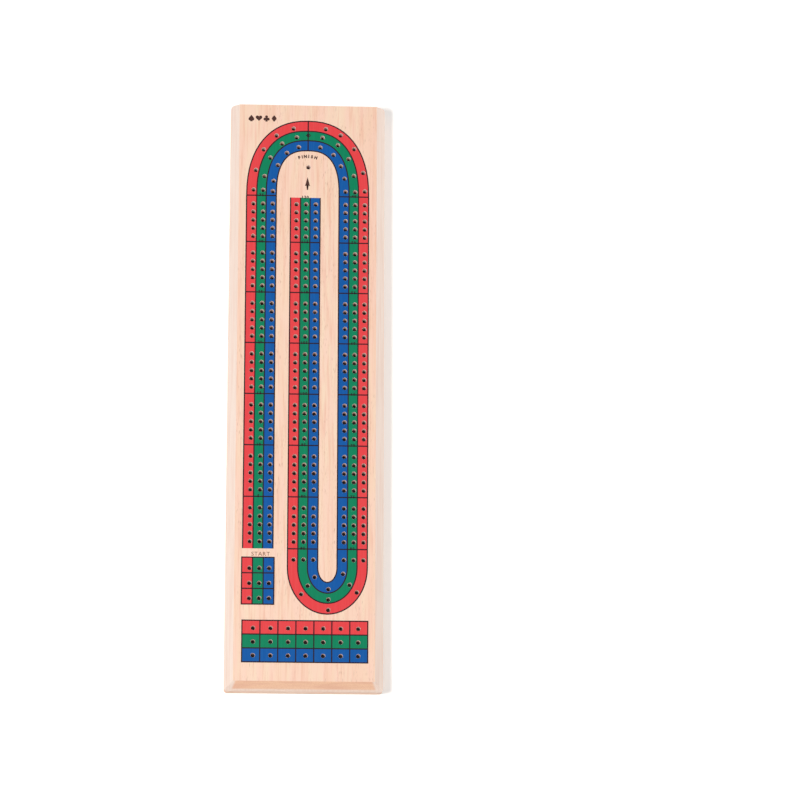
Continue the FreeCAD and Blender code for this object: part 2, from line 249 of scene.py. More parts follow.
@dataclass(frozen=True)
class DrilledDeck(Rubberwood):
    """The deck's board: the same wood, whose long bevels and peg holes were cut after it was sealed.

    The eye gets a paler, less yellow tone on the long bevels and their mitres, which is partly fresh-cut wood
    and partly painted sheen of the side light, and a tan band of cut fibres on the near bevel that pales
    where the sanded mitres turn the corner.  The near end's outermost strip is painted paler, as light
    bounced up from the table, and the peg holes get painted shade that darkens them down to the floor.
    """

    # paler tone of the long bevels and mitres: partly fresh-cut wood, partly painted sheen of the side light
    fresh_and_lit: str = "FBE5D7"
    fresh_warm: Figure = Figure("F6DACA", (1.2, 40.0, 4.0), 2.0, 23.0, 0.4, 0.7)
    bored: str = "FAE7DE"
    # painted shade of the deep peg holes: browner down the wall and near black on the floor
    wall_shade: str = "E0C6BB"
    floor_shade: str = "35282A"
    wall_shade_depths: tuple = (1.0 * MM, 5.5 * MM)
    floor_shade_depths: tuple = (5.7 * MM, 5.95 * MM)
    bevel_sideways: tuple = (0.45, 0.6)
    bevel_upwards: tuple = (0.2, 0.4)
    mitre_pale: float = 4.6 * MM
    mitre_blur: float = 0.8 * MM
    mitre_lean: float = 0.45
    mitre_cut_grain: float = 0.08
    # outermost strip of the near end, painted with the paler tone as light bounced up from the table
    table_bounce: float = 0.7 * MM
    table_bounce_cut_grain: float = 0.2
    bore_reach: tuple = (0.045, 0.180)
    bore_top: float = DECK_TOP - 0.02 * MM
    bore_bottom: float = DECK_TOP - 6.5 * MM

    def colour(self, tree: NodeTree, place: NodeSocket) -> NodeSocket:
        """Colour all over the deck: its fresh cuts with their painted sheen, painted bounce light on the near
        end and painted shade in the peg holes.

        Args:
            tree: the node tree.
            place: coordinates in millimetres, fibres along Y.

        Returns:
            The colour's output.
        """
        # paler bevel tone: fresh-cut wood plus painted sheen of the side light
        fresh_and_lit = self.fresh_warm.over(tree, place, linear(self.fresh_and_lit))
        ends = {0: self.mitre_fade(tree), 6: fresh_and_lit, 7: self.cut_grain(tree, place)}
        ends = add(tree, "Mix", ends, 2, data_type="RGBA")
        colour = self.long_grain(tree, place)
        # the bevels take the paler tone with its painted sheen, the ends take cut grain, the peg holes
        # painted shade
        for share, tone in ((self.bevels(tree), fresh_and_lit), (self.cut_share(tree), ends),
                            (self.bores(tree), self.bore_shade_tone(tree))):
            colour = add(tree, "Mix", {0: share, 6: colour, 7: tone}, 2, data_type="RGBA")
        return colour

    def bore_shade_tone(self, tree: NodeTree) -> NodeSocket:
        """Colour inside a peg hole: fresh wood at the rim, then painted shade, browner down the wall and near
        black on the floor.

        Args:
            tree: the node tree.

        Returns:
            The colour's output.
        """
        depth = add(tree, "Math", (DECK_TOP, one_axis(tree, "Z")), operation="SUBTRACT")
        colour = linear(self.bored)
        # painted shade: the colour darkens with depth, to near black on the floor
        for depths, tone in ((self.wall_shade_depths, self.wall_shade), (self.floor_shade_depths, self.floor_shade)):
            share = add(tree, "MapRange", (depth, *depths))
            colour = add(tree, "Mix", {0: share, 6: colour, 7: linear(tone)}, 2, data_type="RGBA")
        return colour

    def bevels(self, tree: NodeTree) -> NodeSocket:
        """Where a long bevel is: 1 on faces that slope to the left or right, which get the paler tone with
        its painted sheen.

        Args:
            tree: the node tree.

        Returns:
            The share's output.
        """
        sideways = one_axis(tree, "X", "Normal", absolute=True)
        sideways = add(tree, "MapRange", (sideways, *self.bevel_sideways))
        upwards = add(tree, "MapRange", (one_axis(tree, "Z", "Normal"), *self.bevel_upwards))
        return add(tree, "Math", (sideways, upwards), operation="MULTIPLY")

    def bores(self, tree: NodeTree) -> NodeSocket:
        """Where the inside of a peg hole is: below the top and clear of the deck's edges.

        Args:
            tree: the node tree.

        Returns:
            The share's output.
        """
        height = one_axis(tree, "Z")
        inside = add(tree, "Math", (height, self.bore_top), operation="LESS_THAN")
        limits = [add(tree, "Math", (height, self.bore_bottom), operation="GREATER_THAN")]
        for axis, reach in zip("XY", self.bore_reach):
            from_middle = one_axis(tree, axis, absolute=True)
            limits.append(add(tree, "Math", (from_middle, reach), operation="LESS_THAN"))
        for limit in limits:
            inside = add(tree, "Math", (inside, limit), operation="MULTIPLY")
        return inside

    def mitre_fade(self, tree: NodeTree) -> NodeSocket:
        """Share of cut grain on the ends, which pale where the sanded mitres turn the near corners and on the
        near end's outermost strip, where light bounced up from the table is painted.

        Args:
            tree: the node tree.

        Returns:
            The share's output, 0 at the mitres and 1 away from them.
        """
        across = one_axis(tree, "X", absolute=True)
        inwards = add(tree, "Math", (one_axis(tree, "Y"), NEAR_END), operation="SUBTRACT")
        lean = add(tree, "Math", (inwards, self.mitre_lean), operation="MULTIPLY")
        reach = add(tree, "Math", (across, lean), operation="ADD")
        edge = BOARD_HALF_WIDTH - self.mitre_pale
        blur = (edge - self.mitre_blur, edge + self.mitre_blur)
        near = add(tree, "MapRange", (reach, *blur, 1.0, self.mitre_cut_grain))
        # painted light bounced up from the table: the near end's outermost strip takes mostly the paler tone
        table_bounce = add(tree, "MapRange", (inwards, self.table_bounce, 2 * self.table_bounce, self.table_bounce_cut_grain))
        near = add(tree, "Math", (near, table_bounce), operation="MULTIPLY")
        far = add(tree, "Math", (one_axis(tree, "Y"), 0.0), operation="GREATER_THAN")
        return add(tree, "Math", (near, far), operation="MAXIMUM")


@dataclass(frozen=True)
class BirchPly:
    """Three-ply birch panel, sanded: a rotary-cut face with wide soft figure and layered edges."""

    name: str
    thickness: float
    bottom: float
    shift: float = 0.0
    pale: str = "F3D6B4"
    warm: Figure = Figure("E6C096", (16.0, 90.0, 16.0), 4.0, 0.0, 0.35, 0.68)
    fibres: Figure = Figure("C9976A", (0.7, 12.0, 1.0), 2.0, 9.0, 0.45, 0.8, 0.45)
    middle_ply: tuple = (0.15, 0.19)
    edge_facing: tuple = (0.3, 0.6)
    roughness: float = 0.6

    def make(self) -> Material:
        """Build the material.

        Returns:
            The material.
        """
        material, tree, shader = new_material(self.name)
        place = millimetres(tree, 0.0, self.shift)
        fine = self.fibres.share(tree, place)
        height = add(tree, "Math", (one_axis(tree, "Z"), self.bottom), operation="SUBTRACT")
        level = add(tree, "Math", (height, self.thickness), operation="DIVIDE")
        off_middle = add(tree, "Math", (level, 0.5), operation="SUBTRACT")
        off_middle = add(tree, "Math", (off_middle,), operation="ABSOLUTE")
        middle_ply = add(tree, "MapRange", (off_middle, *self.middle_ply, 1.0, 0.0))
        upwards = one_axis(tree, "Z", "Normal", absolute=True)
        edge = add(tree, "MapRange", (upwards, *self.edge_facing, 1.0, 0.0))
        core = add(tree, "Math", (edge, middle_ply), operation="MULTIPLY")
        colour, dark = self.warm.over(tree, place, linear(self.pale)), linear(self.fibres.tone)
        for share in (fine, core):
            colour = add(tree, "Mix", {0: share, 6: colour, 7: dark}, 2, data_type="RGBA")
        bump = add(tree, "Bump", {"Strength": 0.3, "Distance": 0.05 * MM, "Height": fine})
        wire(tree, shader, {"Base Color": colour, "Roughness": self.roughness, "Normal": bump})
        return material


@dataclass(frozen=True)
class ScreenInk:
    """Solvent ink screen-printed on the sealed wood: a flat, slightly satin colour in which the grain
    still tells as a faint change of depth."""

    name: str
    colour: str
    thin: str
    roughness: float = 0.5
    sheen: float = 0.12
    relief: float = 0.2

    def make(self) -> Material:
        """Build the material.

        Returns:
            The material.
        """
        material, tree, shader = new_material(self.name)
        place = millimetres(tree)
        grain = Figure(self.thin, (1.0, 15.0, 4.0), 3.0, 7.0, 0.42, 0.76, 0.32)
        wire(tree, shader, {"Base Color": grain.over(tree, place, linear(self.colour)),
                            "Roughness": self.roughness, "Specular IOR Level": self.sheen,
                            "Normal": fibre_relief(tree, place, self.relief)})
        return material


@dataclass(frozen=True)
class SmallMetal:
    """Small plated or bare steel part, with fine turning or tumbling marks that break up its shine."""

    name: str
    colour: str
    tarnish: str
    roughness: float
    marks: tuple = (0.25, 0.25, 0.25)
    brighter: float = 0.08
    duller: float = 0.12

    def make(self) -> Material:
        """Build the material.

        Returns:
            The material.
        """
        material, tree, shader = new_material(self.name)
        place = millimetres(tree)
        worn = Figure(self.tarnish, (1.6, 1.6, 1.6), 3.0, 0.0, 0.45, 0.75, 0.6)
        colour = worn.over(tree, place, linear(self.colour))
        marks = noise(tree, place, self.marks, 2.0, 4.0)
        spread = (self.roughness - self.brighter, self.roughness + self.duller)
        rough = add(tree, "MapRange", (marks, 0.3, 0.7, *spread))
        bump = add(tree, "Bump", {"Strength": 0.25, "Distance": 0.02 * MM, "Height": marks})
        wire(tree, shader, {"Base Color": colour, "Metallic": 1.0, "Roughness": rough, "Normal": bump})
        return material


@dataclass(frozen=True)
class MouldedStyrene:
    """Injection-moulded polystyrene peg: an even glossy colour, a little duller where hands rub it."""

    name: str
    colour: str
    deep: str
    roughness: float = 0.22
    rubbed: float = 0.38
    ior: float = 1.59
    depth: float = 0.04
    depths: tuple = (1.2 * MM, 0.6 * MM, 0.4 * MM)

    def make(self) -> Material:
        """Build the material.

        Returns:
            The material.
        """
        material, tree, shader = new_material(self.name)
        place = millimetres(tree)
        flow = Figure(self.deep, (5.0, 9.0, 5.0), 1.0, 0.0, 0.35, 0.7, 0.5)
        colour = flow.over(tree, place, linear(self.colour))
        worn = noise(tree, place, (0.8, 0.8, 0.8), 3.0, 6.0)
        rough = add(tree, "MapRange", (worn, 0.35, 0.7, self.roughness, self.rubbed))
        wire(tree, shader, {"Base Color": colour, "Roughness": rough, "IOR": self.ior,
                            "Subsurface Weight": self.depth, "Subsurface Radius": self.depths})
        return material


# ---- modelling helpers ----
def nothing_selected() -> None:
    """Leave edit mode and deselect every object."""
    if bpy.context.object and bpy.context.object.mode != "OBJECT":
        bpy.ops.object.mode_set(mode="OBJECT")
    bpy.ops.object.select_all(action="DESELECT")


def pick(*pieces: Object) -> None:
    """Select only some objects and make the first one active.

    Args:
        pieces: the objects.
    """
    nothing_selected()
    for piece in pieces:
        piece.select_set(True)
    bpy.context.view_layer.objects.active = pieces[0]


def edit(piece: Object, action: str = "SELECT") -> None:
    """Enter edit mode on a piece, in face mode, with all or nothing selected.

    Args:
        piece: the mesh object.
        action: SELECT or DESELECT.
    """
    pick(piece)
    bpy.ops.object.mode_set(mode="EDIT")
    bpy.ops.mesh.select_mode(type="FACE")
    bpy.ops.mesh.select_all(action=action)


def choose_faces(piece: Object, wanted: Callable[[BMesh, BMFace], bool]) -> None:
    """Select only the wanted faces of the piece in edit mode.

    Args:
        piece: the mesh object being edited.
        wanted: says of the mesh and a face whether the face is to be selected.
    """
    bpy.ops.mesh.select_all(action="DESELECT")
    mesh = bmesh.from_edit_mesh(piece.data)
    for face in [f for f in mesh.faces if wanted(mesh, f)]:
        face.select_set(True)
    bmesh.update_edit_mesh(piece.data)


def sheet(name: str, columns: int, rows: int, place: Callable[[int, int], Point],
          cell: Callable[[int, int], int] = lambda i, j: 0) -> Object:
    """Lay a grid on the deck and pull its points to their places, face up.

    Args:
        name: the new object's name.
        columns: faces across.
        rows: faces along.
        place: gives X and Y in millimetres for column line i and row line j.
        cell: gives the cell number of the face in column i and row j.

    Returns:
        The flat mesh object, at the origin, with its cell numbers in the face attribute "cell".
    """
    nothing_selected()
    bpy.ops.mesh.primitive_grid_add(x_subdivisions=columns, y_subdivisions=rows, size=1.0)
    piece = bpy.context.object
    piece.name = piece.data.name = name
    numbers = piece.data.attributes.new("cell", "INT", "FACE")
    for face in piece.data.polygons:
        i = math.floor((face.center.x + 0.5) * columns)
        j = math.floor((face.center.y + 0.5) * rows)
        numbers.data[face.index].value = cell(i, j)
    for vertex in piece.data.vertices:
        x, y = place(round((vertex.co.x + 0.5) * columns), round((vertex.co.y + 0.5) * rows))
        vertex.co = (x * MM, y * MM, DECK_TOP)
    edit(piece)
    bpy.ops.mesh.remove_doubles(threshold=0.01 * MM)
    mesh = bmesh.from_edit_mesh(piece.data)
    mesh.normal_update()
    if sum(face.normal.z for face in mesh.faces) < 0:
        bpy.ops.mesh.flip_normals()
    bpy.ops.object.mode_set(mode="OBJECT")
    return piece


def thicken(piece: Object, thickness: float) -> None:
    """Give a flat sheet its thickness upwards, so that it is a closed film.

    Args:
        piece: the flat mesh object.
        thickness: film thickness in metres.
    """
    pick(piece)
    solid = piece.modifiers.new("film", "SOLIDIFY")
    solid.thickness = thickness
    solid.offset = 1.0
    bpy.ops.object.modifier_apply(modifier=solid.name)


def printed(piece: Object, material: Material) -> None:
    """Ink a printed piece, fix it to the box and report it.

    Args:
        piece: the new object.
        material: the ink.
    """
    piece.data.materials.clear()
    piece.data.materials.append(material)
    piece.data.polygons.foreach_set("material_index", [0] * len(piece.data.polygons))
    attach(piece, "box")
    log.info("%s: %d faces of %s", piece.name, len(piece.data.polygons), material.name)


# ---- printed playing surface ----
class Ink(Enum):
    """Inks of the print, in the order of their material slots."""

    BLUE = 0
    GREEN = 1
    RED = 2
    DARK = 3
    BROWN = 4
    TAN = 5


INK_TONES = {
    Ink.BLUE: ("0B57A2", "2468AE"),
    Ink.GREEN: ("058058", "1C906C"),
    Ink.RED: ("E84448", "EC5C5E"),
    Ink.DARK: ("23141B", "33202A"),
    Ink.BROWN: ("4A2F2A", "6B4A40"),
    Ink.TAN: ("85533F", "9C6A55"),
}


@dataclass
class Printing:
    """Everything printed on the deck: the three-lane track, the start and street blocks, numbers,
    words, an arrow and a row of plain card pips.  All sizes are in millimetres."""

    inks: dict
    line: float = 0.8
    film: float = 0.03
    numeral_film: float = 0.05
    lanes: int = 3
    lane_width: float = 6.2
    inner_half: float = 21.0
    column_foot: float = -102.8
    section_pitch: float = 33.85
    sections: int = 7
    far_base: float = 131.7
    middle_head: float = 130.6
    far_rise: float = 31.4
    far_lane_rise: float = 6.45
    far_power: tuple = (2.66, 2.3)
    far_steps: int = 16
    near_centre: float = 14.4
    near_base: float = -114.8
    near_half: float = 6.6
    near_drop: float = 10.0
    near_lane_drop: float = 6.53
    near_steps: int = 26
    start_x: tuple = (-40.85, -19.35)
    start_y: tuple = (-139.25, -108.15)
    street_x: tuple = (-40.25, 40.85)
    street_y: tuple = (-176.35, -148.85)
    streets: int = 7
    section_holes: int = 5
    numeral_height: float = 2.0
    numeral_lift: float = 0.4
    numeral_spacing: float = 1.3
    numeral_weight: float = 0.035
    start_word: tuple = (-28.4, -106.3)
    start_height: float = 2.6
    start_spacing: float = 1.15
    finish_word: tuple = (-0.1, 158.8)
    finish_radius: float = 18.7
    finish_places: tuple = (-5.7, -3.7, -1.6, 0.6, 2.7, 5.3)
    finish_height: float = 2.2
    finish_weight: float = 0.06
    arrow_middle: float = -0.2
    arrow_levels: tuple = ((136.0, 0.4), (139.0, 0.7), (138.6, 1.6), (144.6, 0.0))
    arrow_notch: float = 0.5
    pip_steps: int = 56
    pip_size: float = 2.15
    pip_pitch: float = 5.0
    first_pip: tuple = (-37.5, 184.3)

    # -- the track's path --
    def edge(self, number: int) -> float:
        """Distance of a lane edge from the blue field's edge; the two outlines lie outside their fields."""
        outline = {0: -self.line, self.lanes: self.line}
        return self.lane_width * number + outline.get(number, 0.0)

    def section_lines(self) -> list[float]:
        """Y of the section lines of one straight column, from its foot up, without the far base."""
        return [self.column_foot + self.section_pitch * i for i in range(self.sections)]

    def stations(self) -> tuple[list[list[Point]], list[int]]:
        """Cross rows of the track from the start round to the middle column's head.

        Returns:
            Each row's four lane edge points, from the blue edge outwards, and the numbers of the rows
            that are section lines.
        """
        edges = range(self.lanes + 1)
        side = [self.inner_half + self.edge(k) for k in edges]
        inner = [self.near_centre - self.near_half - self.edge(k) for k in edges]
        lines = self.section_lines()
        rows = [[(-s, y) for s in side] for y in [lines[0] - self.line, *lines[1:]]]
        section = list(range(len(rows)))
        for step in range(2 * self.far_steps + 1):
            if step % self.far_steps == 0:
                section.append(len(rows))
            angle = math.pi * step / (2 * self.far_steps)
            rows.append([self.far_turn(k, angle) for k in edges])
        section += range(len(rows), len(rows) + len(lines))
        rows += [[(s, y) for s in side] for y in reversed(lines)]
        for step in range(self.near_steps + 1):
            rows.append([self.near_turn(k, math.pi * step / self.near_steps) for k in edges])
        section += range(len(rows), len(rows) + len(lines) + 1)
        rows += [[(x, y) for x in inner] for y in [*lines, self.middle_head + self.line]]
        return rows, section

    def far_turn(self, edge: int, angle: float) -> Point:
        """Point of a lane edge in the long turn, a curve a little squarer than an ellipse.

        Args:
            edge: lane edge, 0 on the blue side.
            angle: 0 at the left column, pi at the right one.

        Returns:
            X and Y.
        """
        low, high = self.far_power
        power = 2 / (low + (high - low) * edge / self.lanes)
        half = self.inner_half + self.edge(edge)
        rise = self.far_rise + self.far_lane_rise / self.lane_width * self.edge(edge)
        c, s = math.cos(angle), math.sin(angle)
        return -half * math.copysign(abs(c) ** power, c), self.far_base + rise * abs(s) ** power

    def near_turn(self, edge: int, angle: float) -> Point:
        """Point of a lane edge in the short turn.

        Args:
            edge: lane edge, 0 on the blue side.
            angle: 0 at the right column, pi at the middle one.

        Returns:
            X and Y.
        """
        half = self.near_half + self.edge(edge)
        drop = self.near_drop + self.near_lane_drop / self.lane_width * self.edge(edge)
        return self.near_centre + half * math.cos(angle), self.near_base - drop * math.sin(angle)

    # -- sheets of cells --
    def track(self) -> Object:
        """Three lanes as one sheet, which stops without an outline at its foot and its head.

        Returns:
            The flat sheet.
        """
        rows, lines = self.stations()
        starts = [sum(line <= j for line in lines) for j in range(len(rows))]
        piece = sheet("track", self.lanes, len(rows) - 1, lambda i, j: rows[j][i],
                      lambda i, j: starts[j] * self.lanes + i)
        self.field_cells(piece, lambda number: Ink(number % self.lanes))
        edit(piece, "DESELECT")
        side, last = self.inner_half * 0.9 * MM, self.section_lines()[-1] * MM
        choose_faces(piece, lambda mesh, face: face.calc_center_median().x < -side)
        bpy.ops.mesh.bisect(plane_co=(0, self.column_foot * MM, 0), plane_no=(0, 1, 0), clear_inner=True)
        choose_faces(piece, lambda mesh, face: abs(face.calc_center_median().x) < side
                     and last < face.calc_center_median().y < self.far_base * MM * 1.05)
        bpy.ops.mesh.bisect(plane_co=(0, self.middle_head * MM, 0), plane_no=(0, 1, 0), clear_outer=True)
        bpy.ops.object.mode_set(mode="OBJECT")
        return piece

    def block(self, name: str, columns: int, rows: int, x: Point, y: Point,
              ink: Callable[[int], Ink]) -> Object:
        """A block of equal cells.

        Args:
            name: the new object's name.
            columns: cells across.
            rows: cells along.
            x: outer edges of its outline across, in millimetres.
            y: outer edges of its outline along, in millimetres.
            ink: gives the ink of a cell number, which counts across and then along.

        Returns:
            The flat sheet.
        """
        half_line = self.line / 2

        def place(i: int, j: int) -> Point:
            """Corner of the cells; the outer ones lie half a line farther out, for the outline.

            Args:
                i: line across.
                j: line along.

            Returns:
                X and Y.
            """
            spots = []
            for number, count, (low, high) in ((i, columns, x), (j, rows, y)):
                spot = low + half_line + (high - low - self.line) * number / count
                spots.append(low if number == 0 else high if number == count else spot)
            return tuple(spots)

        piece = sheet(name, columns, rows, place, lambda i, j: j * columns + i)
        self.field_cells(piece, ink)
        return piece

    def field_cells(self, piece: Object, ink: Callable[[int], Ink]) -> None:
        """Inset the whole and then every cell by half a line, colour the middles and leave the rims dark.

        Args:
            piece: the flat sheet with its cell numbers.
            ink: gives the ink of a cell number.
        """
        for one in list(Ink)[:Ink.DARK.value + 1]:
            piece.data.materials.append(self.inks[one])
        piece.data.polygons.foreach_set("material_index", [Ink.DARK.value] * len(piece.data.polygons))
        half_line = self.line / 2 * MM
        numbers = sorted({entry.value for entry in piece.data.attributes["cell"].data})
        edit(piece)
        bpy.ops.mesh.inset(thickness=half_line, depth=0, use_boundary=True)
        mesh = bmesh.from_edit_mesh(piece.data)
        cell = mesh.faces.layers.int["cell"]
        for face in mesh.faces:
            if not face.select:
                face[cell] = -1
        bmesh.update_edit_mesh(piece.data)
        for number in numbers:
            choose_faces(piece, lambda mesh, face: face[mesh.faces.layers.int["cell"]] == number)
            bpy.ops.mesh.inset(thickness=half_line, depth=0, use_boundary=True)
            piece.active_material_index = ink(number).value
            bpy.ops.object.material_slot_assign()
        bpy.ops.object.mode_set(mode="OBJECT")

    def fields(self, cutter: Object) -> None:
        """Print the track and its blocks: one film to an ink, open at every peg hole.

        Args:
            cutter: the bores of all the peg holes.
        """
        start = self.block("start", self.lanes, self.lanes, self.start_x, self.start_y,
                           lambda number: Ink(self.lanes - 1 - number % self.lanes))
        streets = self.block("streets", self.streets, self.lanes, self.street_x, self.street_y,
                             lambda number: Ink(number // self.streets))
        whole = self.track()
        pick(whole, start, streets)
        bpy.ops.object.join()
        edit(whole)
        bpy.ops.mesh.separate(type="MATERIAL")
        bpy.ops.object.mode_set(mode="OBJECT")
        for piece in list(bpy.context.selected_objects):
            index = piece.data.polygons[0].material_index
            ink = next(one for one in Ink if self.inks[one] == piece.material_slots[index].material)
            piece.name = piece.data.name = "print_" + ink.name.lower()
            thicken(piece, self.film * MM)
            cut = piece.modifiers.new("holes", "BOOLEAN")
            cut.operation, cut.solver, cut.object = "DIFFERENCE", "EXACT", cutter
            bpy.ops.object.modifier_apply(modifier=cut.name)
            printed(piece, self.inks[ink])

    # -- numbers, words and marks --
    def lettering(self, name: str, body: str, x: float, y: float, height: float, spacing: float = 1.0,
                  weight: float = 0.0, turn: float = 0.0, base: float = 0.0) -> Object:
        """Set plain letters or numerals flat on the deck.

        Args:
            name: the new object's name.
            body: what they say.
            x: their middle, in millimetres.
            y: their middle, in millimetres.
            height: height of a capital or a numeral, in millimetres.
            spacing: letter spacing, 1 is normal.
            weight: how far the strokes are thickened, as a share of the letter size.
            turn: turn about Z, in radians.
            base: thickness of the ink that they stand on, in millimetres.

        Returns:
            The letters as a closed film.
        """
        nothing_selected()
        bpy.ops.object.text_add()
        piece = bpy.context.object
        piece.name = name
        text = piece.data
        text.body, text.space_character, text.resolution_u, text.offset = body, spacing, 3, weight
        bpy.ops.object.convert(target="MESH")
        piece = bpy.context.object
        points = [v.co for v in piece.data.vertices]
        low = Vector((min(p.x for p in points), min(p.y for p in points), 0))
        high = Vector((max(p.x for p in points), max(p.y for p in points), 0))
        scale = height * MM / (high.y - low.y)
        piece.data.transform(Matrix.Translation((x * MM, y * MM, DECK_TOP + base * MM))
                             @ Matrix.Rotation(turn, 4, "Z") @ Matrix.Scale(scale, 4)
                             @ Matrix.Translation(-(low + high) / 2))
        thicken(piece, (self.numeral_film - base) * MM)
        return piece

    def numerals(self) -> None:
        """Number every section line in the green lane, the middle one."""
        green = self.lanes / 2
        left = -(self.inner_half + self.lane_width * green)
        middle = self.near_centre - self.near_half - self.lane_width * green
        lines = self.section_lines()
        top = self.far_base + self.far_rise + self.far_lane_rise * green
        places = [(left, y) for y in [*lines[1:], self.far_base]]
        places += [(0.0, top), (-left, self.far_base)]
        places += [(-left, y) for y in reversed(lines)]
        places += [(middle, y) for y in [*lines, self.middle_head]]
        pieces = [self.lettering("numeral", str(self.section_holes * n), x, y + self.numeral_lift,
                                 self.numeral_height, self.numeral_spacing, self.numeral_weight,
                                 base=self.film)
                  for n, (x, y) in enumerate(places, 1)]
        self.finish_group("print_numerals", pieces)

    def words(self) -> None:
        """Plain START over the start block and FINISH on a shallow arc over the last hole."""
        start = self.lettering("start_word", "START", *self.start_word, self.start_height, self.start_spacing)
        arc = []
        for letter, spot in zip("FINISH", self.finish_places):
            angle = spot / self.finish_radius
            x = self.finish_radius * math.sin(angle) + self.finish_word[0]
            y = self.finish_word[1] - self.finish_radius * (1 - math.cos(angle))
            arc.append(self.lettering("finish_letter", letter, x, y, self.finish_height,
                                      weight=self.finish_weight, turn=-angle))
        self.finish_group("print_start", [start], self.inks[Ink.TAN])
        self.finish_group("print_finish", arc, self.inks[Ink.BROWN])

    def arrow(self) -> None:
        """Slim arrow that points from the middle column to the last hole."""
        def place(i: int, j: int) -> Point:
            """Edge or middle of the arrow at one level; the middle of the barbs' level is notched."""
            y, half = self.arrow_levels[j]
            return self.arrow_middle + (i - 1) * half, y + (self.arrow_notch if (i, j) == (1, 2) else 0)

        piece = sheet("arrow", 2, len(self.arrow_levels) - 1, place)
        thicken(piece, self.numeral_film * MM)
        self.finish_group("print_arrow", [piece], self.inks[Ink.BROWN])

    def pips(self) -> None:
        """Row of the four plain card suits at the far left of the deck."""
        pieces = []
        for n, shape in enumerate((self.spade, self.heart, self.club, self.diamond)):
            nothing_selected()
            bpy.ops.mesh.primitive_circle_add(vertices=self.pip_steps, radius=1.0, fill_type="NGON")
            piece = bpy.context.object
            centre = Vector((self.first_pip[0] + self.pip_pitch * n, self.first_pip[1], 0))
            for vertex in piece.data.vertices:
                angle = math.atan2(vertex.co.x, vertex.co.y)
                spot = centre + Vector(shape(angle)).to_3d() * self.pip_size
                vertex.co = (spot.x * MM, spot.y * MM, DECK_TOP)
            thicken(piece, self.numeral_film * MM)
            pieces.append(piece)
        self.finish_group("print_pips", pieces, self.inks[Ink.BROWN])

    @staticmethod
    def heart(angle: float) -> Point:
        """Heart outline.

        Args:
            angle: 0 at the notch on top.

        Returns:
            X and Y.
        """
        s, c = math.sin(angle), math.cos(angle)
        lift = 13 * c - 5 * math.cos(2 * angle) - 2 * math.cos(3 * angle) - math.cos(4 * angle)
        return s ** 3, lift / 16 + 0.12

    @staticmethod
    def diamond(angle: float) -> Point:
        """Diamond outline with slightly hollow sides."""
        s, c = math.sin(angle), math.cos(angle)
        return 0.78 * math.copysign(abs(s) ** 1.8, s), 1.05 * math.copysign(abs(c) ** 1.8, c)

    @staticmethod
    def footed(angle: float, reach: float) -> Point:
        """Outline at this reach, drawn down to a flat foot that widens downwards.

        Args:
            angle: 0 at the top, pi at the foot.
            reach: distance of the outline from the middle.

        Returns:
            X and Y.
        """
        down = -math.cos(angle)
        if down > 0.93:
            reach = max(reach, 1.0 / down)
        return reach * math.sin(angle), reach * math.cos(angle)

    @staticmethod
    def spade(angle: float) -> Point:
        """Spade outline: a pointed top, two round shoulders and a foot.

        Args:
            angle: 0 at the top.

        Returns:
            X and Y.
        """
        shoulders = Printing.lobes(angle, ((0.42, -0.28), (-0.42, -0.28)), 0.46)
        s, c = math.sin(angle), math.cos(angle)
        point = 1.05 / (abs(c) + 1.22 * abs(s)) if c > -0.3 else 0.0
        return Printing.footed(angle, max(shoulders, point))

    @staticmethod
    def club(angle: float) -> Point:
        """Club outline: three lobes and a foot."""
        return Printing.footed(angle, Printing.lobes(angle, ((0.0, 0.52), (0.5, -0.22), (-0.5, -0.22)), 0.44))

    @staticmethod
    def lobes(angle: float, centres: tuple, radius: float) -> float:
        """Reach of a group of discs from the middle.

        Args:
            angle: direction, 0 at the top.
            centres: the discs' centres.
            radius: the discs' radius.

        Returns:
            The farthest point of any disc in that direction.
        """
        reach = 0.2
        for x, y in centres:
            along = x * math.sin(angle) + y * math.cos(angle)
            across = x * math.cos(angle) - y * math.sin(angle)
            if abs(across) < radius:
                reach = max(reach, along + math.sqrt(radius ** 2 - across ** 2))
        return reach

    def finish_group(self, name: str, pieces: list[Object], ink: Material | None = None) -> None:
        """Join small films into one printed piece.

        Args:
            name: the joined piece's name.
            pieces: its films.
            ink: their ink, the dark one if none is given.
        """
        pick(*pieces)
        if len(pieces) > 1:
            bpy.ops.object.join()
        piece = bpy.context.object
        piece.name = piece.data.name = name
        printed(piece, ink or self.inks[Ink.DARK])

    def build(self, cutter: Object) -> None:
        """Print everything on the deck.

        Args:
            cutter: the bores of all the peg holes.
        """
        self.fields(cutter)
        self.numerals()
        self.words()
        self.arrow()
        self.pips()


